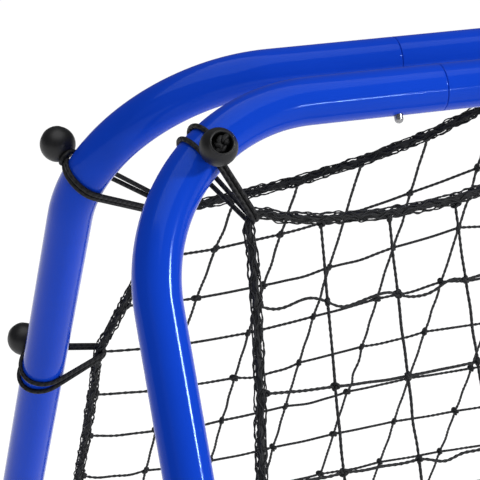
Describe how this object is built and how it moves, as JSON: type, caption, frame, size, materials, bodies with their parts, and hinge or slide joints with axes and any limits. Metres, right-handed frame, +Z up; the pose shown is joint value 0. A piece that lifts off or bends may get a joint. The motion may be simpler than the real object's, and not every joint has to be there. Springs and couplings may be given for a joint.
{
  "type": "pitch back rebounder",
  "caption": "Folding A-frame of two tubular steel frames, each holding a knotted ball net on elastic ball bungees, for rebounding thrown or kicked balls.",
  "frame": {"origin": "middle of the footprint, on the ground under the ridge", "axes": "+Z up, +X along the ridge between the two frames, -Y towards the player of the front net"},
  "size_m": [0.9696, 1.1262, 0.8939],
  "materials": {
    "blue_paint": "gloss powder coat",
    "zinc_steel": "bright zinc",
    "black_plastic": "satin moulded",
    "bungee_ball": "satin moulded ball",
    "bungee_elastic": "braided elastic cord",
    "edge_rope": "twisted polyethylene rope",
    "net_twine": "knotted polyethylene twine"
  },
  "bodies": {
    "front_frame": {"front_bottom_tube": "blue_paint", "front_bungee_bottom_corner_left": "bungee_elastic", "front_bungee_bottom_corner_right": "bungee_elastic", "front_bungee_bottom_left": "bungee_elastic", "front_bungee_bottom_right": "bungee_elastic", "front_bungee_side_lower_left": "bungee_elastic", "front_bungee_side_lower_right": "bungee_elastic", "front_bungee_side_upper_left": "bungee_elastic", "front_bungee_side_upper_right": "bungee_elastic", "front_bungee_top_corner_left": "bungee_elastic", "front_bungee_top_corner_right": "bungee_elastic", "front_bungee_top_left": "bungee_elastic", "front_bungee_top_right": "bungee_elastic", "front_lower_left_corner_tube": "blue_paint", "front_lower_right_corner_tube": "blue_paint", "front_net": "net_twine", "front_net_rope": "edge_rope", "front_top_tube": "blue_paint", "front_upper_left_corner_tube": "blue_paint", "front_upper_right_corner_tube": "blue_paint", "left_hinge_bolt": "zinc_steel", "left_hinge_front_bracket": "blue_paint", "right_hinge_bolt": "zinc_steel", "right_hinge_front_bracket": "blue_paint"},
    "rear_frame": {"left_hinge_rear_bracket": "blue_paint", "rear_bottom_tube": "blue_paint", "rear_bungee_bottom_corner_left": "bungee_elastic", "rear_bungee_bottom_corner_right": "bungee_elastic", "rear_bungee_bottom_left": "bungee_elastic", "rear_bungee_bottom_right": "bungee_elastic", "rear_bungee_side_lower_left": "bungee_elastic", "rear_bungee_side_lower_right": "bungee_elastic", "rear_bungee_side_upper_left": "bungee_elastic", "rear_bungee_side_upper_right": "bungee_elastic", "rear_bungee_top_corner_left": "bungee_elastic", "rear_bungee_top_corner_right": "bungee_elastic", "rear_bungee_top_left": "bungee_elastic", "rear_bungee_top_right": "bungee_elastic", "rear_lower_left_corner_tube": "blue_paint", "rear_lower_right_corner_tube": "blue_paint", "rear_net": "net_twine", "rear_net_rope": "edge_rope", "rear_top_tube": "blue_paint", "rear_upper_left_corner_tube": "blue_paint", "rear_upper_right_corner_tube": "blue_paint", "right_hinge_rear_bracket": "blue_paint"},
    "left_knob": {"left_hinge_knob": "black_plastic"},
    "right_knob": {"right_hinge_knob": "black_plastic"},
    "front_bottom_left_button": {"front_bottom_left_snap_clip": "zinc_steel"},
    "front_bottom_right_button": {"front_bottom_right_snap_clip": "zinc_steel"},
    "front_left_side_button": {"front_left_side_snap_clip": "zinc_steel"},
    "front_right_side_button": {"front_right_side_snap_clip": "zinc_steel"},
    "front_top_left_button": {"front_top_left_snap_clip": "zinc_steel"},
    "front_top_right_button": {"front_top_right_snap_clip": "zinc_steel"},
    "rear_bottom_left_button": {"rear_bottom_left_snap_clip": "zinc_steel"},
    "rear_bottom_right_button": {"rear_bottom_right_snap_clip": "zinc_steel"},
    "rear_left_side_button": {"rear_left_side_snap_clip": "zinc_steel"},
    "rear_right_side_button": {"rear_right_side_snap_clip": "zinc_steel"},
    "rear_top_left_button": {"rear_top_left_snap_clip": "zinc_steel"},
    "rear_top_right_button": {"rear_top_right_snap_clip": "zinc_steel"}
  },
  "joints": [
    {"name": "fold", "type": "hinge", "parent": "front_frame", "child": "rear_frame", "pos_m": [0, 0, 0.86602], "axis": [1, 0, 0], "range_deg": [-60, 0]},
    {"name": "left_knob_turn", "type": "hinge", "parent": "front_frame", "child": "left_knob", "pos_m": [-0.09, 0, 0.86602], "axis": [1, 0, 0], "range_deg": [0, 360]},
    {"name": "right_knob_turn", "type": "hinge", "parent": "front_frame", "child": "right_knob", "pos_m": [0.09, 0, 0.86602], "axis": [1, 0, 0], "range_deg": [0, 360]},
    {"name": "front_bottom_left_button_press", "type": "slide", "parent": "front_frame", "child": "front_bottom_left_button", "axis": [0, -0.5, -0.866], "range_m": [0, 0.006], "stiffness_N_per_m": 1500, "springref_m": -0.004},
    {"name": "front_bottom_right_button_press", "type": "slide", "parent": "front_frame", "child": "front_bottom_right_button", "axis": [0, -0.5, -0.866], "range_m": [0, 0.006], "stiffness_N_per_m": 1500, "springref_m": -0.004},
    {"name": "front_left_side_button_press", "type": "slide", "parent": "front_frame", "child": "front_left_side_button", "axis": [-1, 0, 0], "range_m": [0, 0.006], "stiffness_N_per_m": 1500, "springref_m": -0.004},
    {"name": "front_right_side_button_press", "type": "slide", "parent": "front_frame", "child": "front_right_side_button", "axis": [1, 0, 0], "range_m": [0, 0.006], "stiffness_N_per_m": 1500, "springref_m": -0.004},
    {"name": "front_top_left_button_press", "type": "slide", "parent": "front_frame", "child": "front_top_left_button", "axis": [0, 0.5, 0.866], "range_m": [0, 0.006], "stiffness_N_per_m": 1500, "springref_m": -0.004},
    {"name": "front_top_right_button_press", "type": "slide", "parent": "front_frame", "child": "front_top_right_button", "axis": [0, 0.5, 0.866], "range_m": [0, 0.006], "stiffness_N_per_m": 1500, "springref_m": -0.004},
    {"name": "rear_bottom_left_button_press", "type": "slide", "parent": "rear_frame", "child": "rear_bottom_left_button", "axis": [0, 0.5, -0.866], "range_m": [0, 0.006], "stiffness_N_per_m": 1500, "springref_m": -0.004},
    {"name": "rear_bottom_right_button_press", "type": "slide", "parent": "rear_frame", "child": "rear_bottom_right_button", "axis": [0, 0.5, -0.866], "range_m": [0, 0.006], "stiffness_N_per_m": 1500, "springref_m": -0.004},
    {"name": "rear_left_side_button_press", "type": "slide", "parent": "rear_frame", "child": "rear_left_side_button", "axis": [1, 0, 0], "range_m": [0, 0.006], "stiffness_N_per_m": 1500, "springref_m": -0.004},
    {"name": "rear_right_side_button_press", "type": "slide", "parent": "rear_frame", "child": "rear_right_side_button", "axis": [-1, 0, 0], "range_m": [0, 0.006], "stiffness_N_per_m": 1500, "springref_m": -0.004},
    {"name": "rear_top_left_button_press", "type": "slide", "parent": "rear_frame", "child": "rear_top_left_button", "axis": [0, -0.5, 0.866], "range_m": [0, 0.006], "stiffness_N_per_m": 1500, "springref_m": -0.004},
    {"name": "rear_top_right_button_press", "type": "slide", "parent": "rear_frame", "child": "rear_top_right_button", "axis": [0, -0.5, 0.866], "range_m": [0, 0.006], "stiffness_N_per_m": 1500, "springref_m": -0.004}
  ]
}
